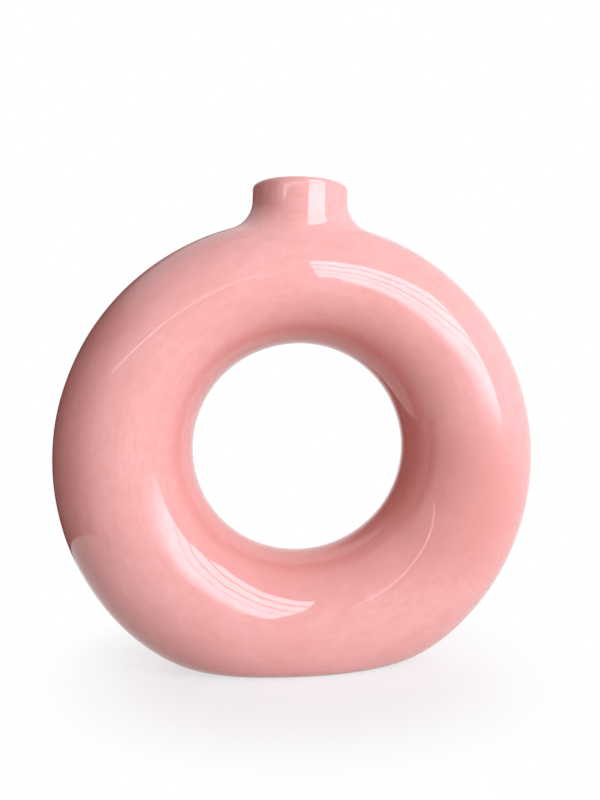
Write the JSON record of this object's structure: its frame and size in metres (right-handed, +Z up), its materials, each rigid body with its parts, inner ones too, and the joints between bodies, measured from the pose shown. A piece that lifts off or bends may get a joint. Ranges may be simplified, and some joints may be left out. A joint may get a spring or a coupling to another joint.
{
  "type": "donut vase",
  "caption": "Upright hollow ring vase in glazed ceramic, with a round open hole, a short cylindrical neck on its crest and a flat foot.",
  "frame": {"origin": "middle of the flat foot, on the surface that the vase stands on", "axes": "+Z up; the ring lies in the XZ plane; the front faces -Y; +X is the viewer's right"},
  "size_m": [0.24, 0.0664, 0.2387],
  "materials": {
    "clay": "fired, unglazed, fine grained",
    "slip": "fired, unglazed, smooth",
    "outer_glaze": "glossy coloured glaze",
    "liner_glaze": "glossy pale liner glaze"
  },
  "bodies": {
    "root": {"front_half": "clay", "back_half": "clay", "neck": "clay", "foot_slab": "clay", "left_seam": "slip", "right_seam": "slip", "hole_seam": "slip", "neck_joint": "slip", "foot_joint": "slip", "outer_glaze": "outer_glaze", "liner_glaze": "liner_glaze"}
  },
  "joints": []
}
